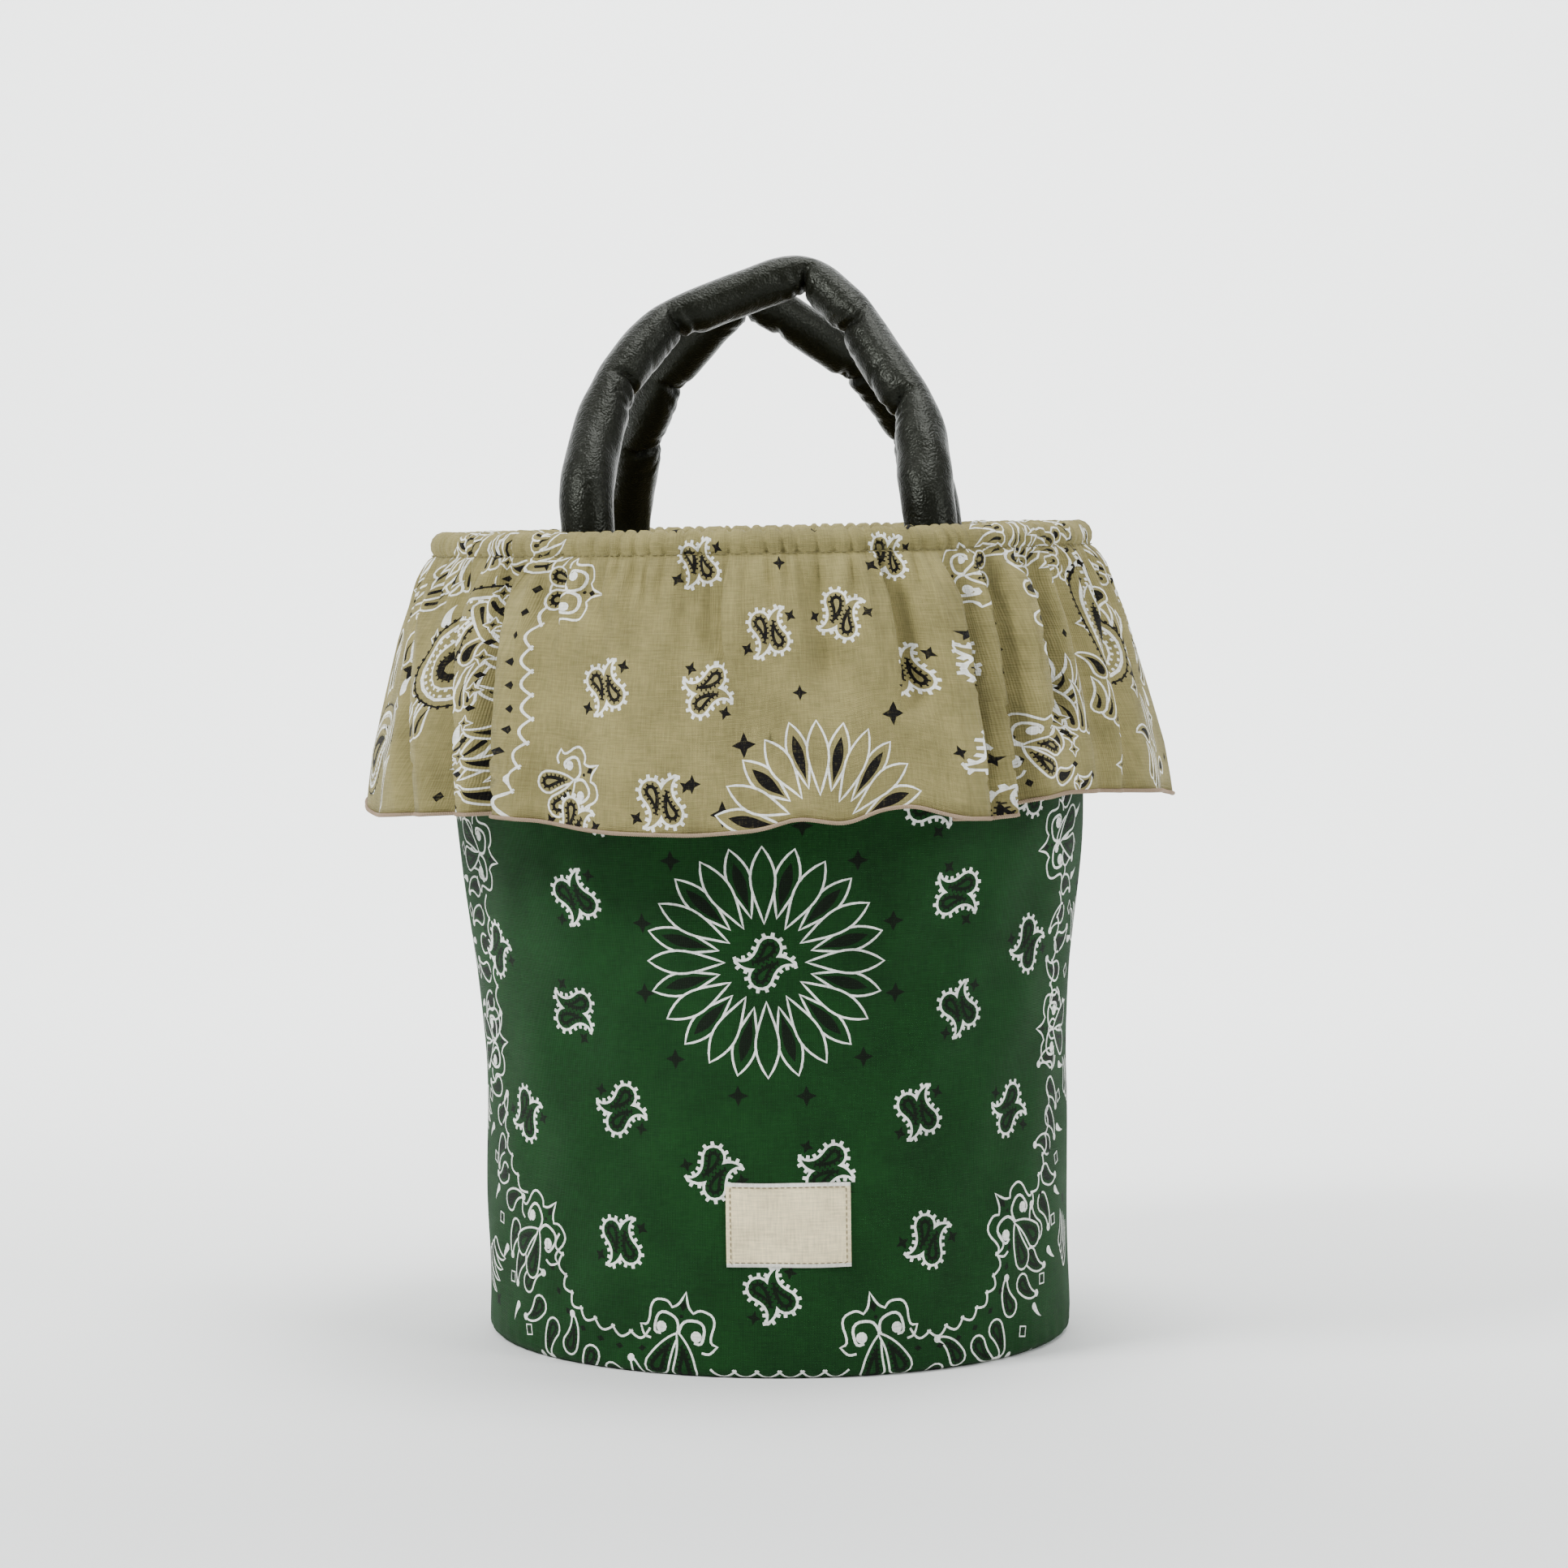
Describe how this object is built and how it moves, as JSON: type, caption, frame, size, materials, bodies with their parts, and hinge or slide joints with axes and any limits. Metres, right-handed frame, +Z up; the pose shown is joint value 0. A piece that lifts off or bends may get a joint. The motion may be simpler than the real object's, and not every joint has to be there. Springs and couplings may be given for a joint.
{
  "type": "bucket bag",
  "caption": "Round padded bucket bag for picked fruit, with a gathered skirt under a corded rim and swinging tube handles.",
  "frame": {"origin": "middle of the underside of the round base, on the surface the bag stands on", "axes": "+Z up out of the mouth, -Y is the front with the label, +X to the right seen from the front"},
  "size_m": [0.3666, 0.3666, 0.4806],
  "materials": {
    "green_cotton": "printed plain-weave cotton",
    "khaki_cotton": "printed plain-weave cotton",
    "lining": "plain cotton",
    "wadding": "needled polyester wadding",
    "stuffing": "loose polyester filling",
    "board": "bag base board",
    "cord": "soft piping cord",
    "thread": "spun polyester thread",
    "dark_thread": "spun polyester thread",
    "label": "woven label tape, blank",
    "leather": "soft dark lamb leather"
  },
  "bodies": {
    "bag": {"cover_front": "green_cotton", "cover_back": "green_cotton", "cover_base": "green_cotton", "wadding_front": "wadding", "wadding_back": "wadding", "wadding_base": "wadding", "base_board": "board", "lining_front": "lining", "lining_back": "lining", "lining_base": "lining", "skirt_front": "khaki_cotton", "skirt_back": "khaki_cotton", "hem_edging_front": "thread", "hem_edging_back": "thread", "rim_cord": "cord", "rim_stitching": "thread", "label": "label", "label_stitching": "thread", "handle_tacks_front": "dark_thread", "handle_tacks_back": "dark_thread", "handle_root_front_left": "leather", "handle_root_front_right": "leather", "handle_root_back_left": "leather", "handle_root_back_right": "leather"},
    "front_handle": {"handle_sleeve_front": "leather", "handle_stuffing_front": "stuffing"},
    "back_handle": {"handle_sleeve_back": "leather", "handle_stuffing_back": "stuffing"}
  },
  "joints": [
    {"name": "front_handle_swing", "type": "hinge", "parent": "bag", "child": "front_handle", "pos_m": [0, -0.09887, 0.373], "axis": [1, 0, 0], "range_deg": [0, 130]},
    {"name": "back_handle_swing", "type": "hinge", "parent": "bag", "child": "back_handle", "pos_m": [0, 0.09887, 0.373], "axis": [-1, 0, 0], "range_deg": [0, 130]}
  ]
}
